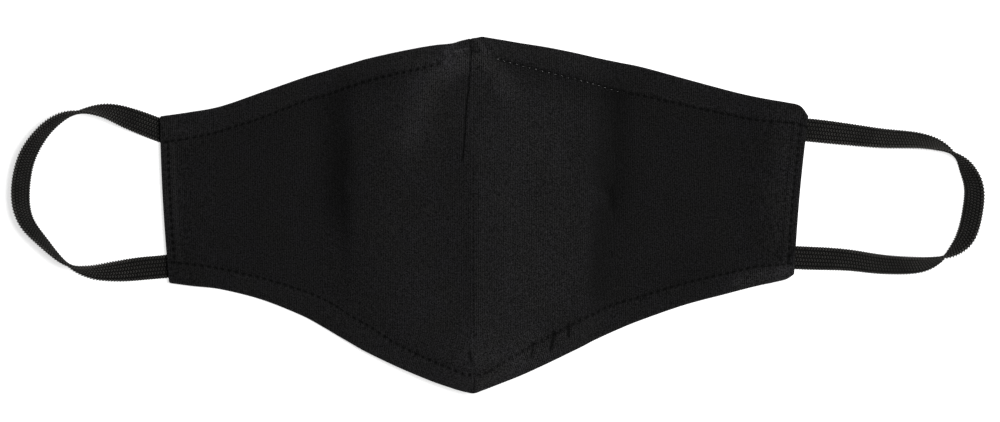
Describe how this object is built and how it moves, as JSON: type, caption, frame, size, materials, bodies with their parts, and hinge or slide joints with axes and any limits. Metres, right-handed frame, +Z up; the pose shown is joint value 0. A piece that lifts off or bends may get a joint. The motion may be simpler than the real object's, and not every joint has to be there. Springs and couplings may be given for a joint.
{
  "type": "cloth face mask",
  "caption": "Shaped black cloth face mask with nose and chin darts, stitched hems and flat elastic ear loops, lying face up.",
  "frame": {"origin": "on the table, under the middle of the whole mask as it lies", "axes": "+X along the mask from one ear loop to the other, to the right with the nose up; +Y towards the nose edge; +Z up, out of the outer face"},
  "size_m": [0.379, 0.1384, 0.0265],
  "materials": {
    "cotton_jersey": "matt black knitted cotton jersey, two layers, topstitched in black thread",
    "knitted_elastic": "black flat knitted elastic tape with lengthwise ribs"
  },
  "bodies": {
    "root": {"mask_shell": "cotton_jersey", "ear_loop_left": "knitted_elastic", "ear_loop_right": "knitted_elastic"}
  },
  "joints": []
}
